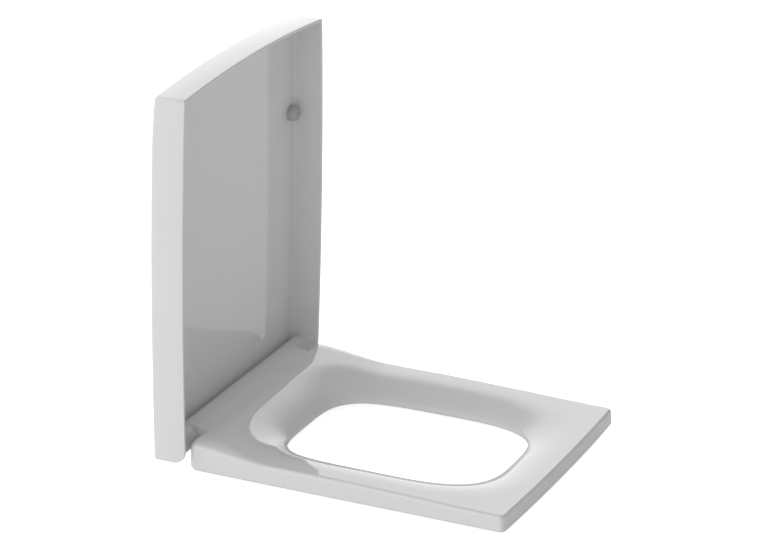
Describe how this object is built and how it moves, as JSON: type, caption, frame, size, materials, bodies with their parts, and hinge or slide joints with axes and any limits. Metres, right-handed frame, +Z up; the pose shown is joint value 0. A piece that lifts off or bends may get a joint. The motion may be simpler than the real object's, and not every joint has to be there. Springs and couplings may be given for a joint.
{
  "type": "toilet seat with lid",
  "caption": "Square-form toilet seat: dished ring with a rounded-rectangular opening, a raised wrap-over lid, and hinge posts that bolt to the bowl.",
  "frame": {"origin": "midway between the two fixing holes, on the plane of the bowl's top", "axes": "+Z up, -Y towards the front edge of the seat, X across its width"},
  "size_m": [0.388, 0.4548, 0.4825],
  "materials": {
    "duroplast_white": "high gloss moulded thermoset, white",
    "barrel_plastic": "gloss moulded plastic, white",
    "bumper_rubber": "soft satin rubber, grey-green",
    "buffer_rubber": "soft satin rubber, pale grey",
    "gasket_rubber": "matt sheet rubber, dark",
    "cast_zinc": "satin plated casting",
    "chrome_trim": "polished plate",
    "pin_steel": "ground steel bar",
    "bush_nylon": "natural nylon",
    "damper_plastic": "black moulded plastic"
  },
  "bodies": {
    "base": {"hinge_post_left": "cast_zinc", "hinge_post_right": "cast_zinc", "post_rosette_left": "chrome_trim", "post_rosette_right": "chrome_trim", "post_gasket_left": "gasket_rubber", "post_gasket_right": "gasket_rubber", "post_bush_left": "bush_nylon", "post_bush_right": "bush_nylon"},
    "ring": {"seat_ring": "duroplast_white", "seat_buffer_front_left": "buffer_rubber", "seat_buffer_front_right": "buffer_rubber", "seat_buffer_rear_left": "buffer_rubber", "seat_buffer_rear_right": "buffer_rubber", "hinge_pin_left": "pin_steel", "hinge_pin_right": "pin_steel", "hinge_barrel_left": "barrel_plastic", "hinge_barrel_right": "barrel_plastic", "lid_damper_left": "damper_plastic", "lid_damper_right": "damper_plastic", "barrel_screws": "pin_steel"},
    "lid": {"lid_shell": "duroplast_white", "lid_bumper_left": "bumper_rubber", "lid_bumper_right": "bumper_rubber", "damper_shaft_left": "pin_steel", "damper_shaft_right": "pin_steel", "lid_bush_left": "bush_nylon", "lid_bush_right": "bush_nylon"}
  },
  "joints": [
    {"name": "ring_hinge", "type": "hinge", "parent": "base", "child": "ring", "pos_m": [0, 0.036, 0.034], "axis": [-1, 0, 0], "range_deg": [0, 90]},
    {"name": "lid_hinge", "type": "hinge", "parent": "ring", "child": "lid", "pos_m": [0, 0.036, 0.034], "axis": [1, 0, 0], "range_deg": [0, 91.6]}
  ]
}
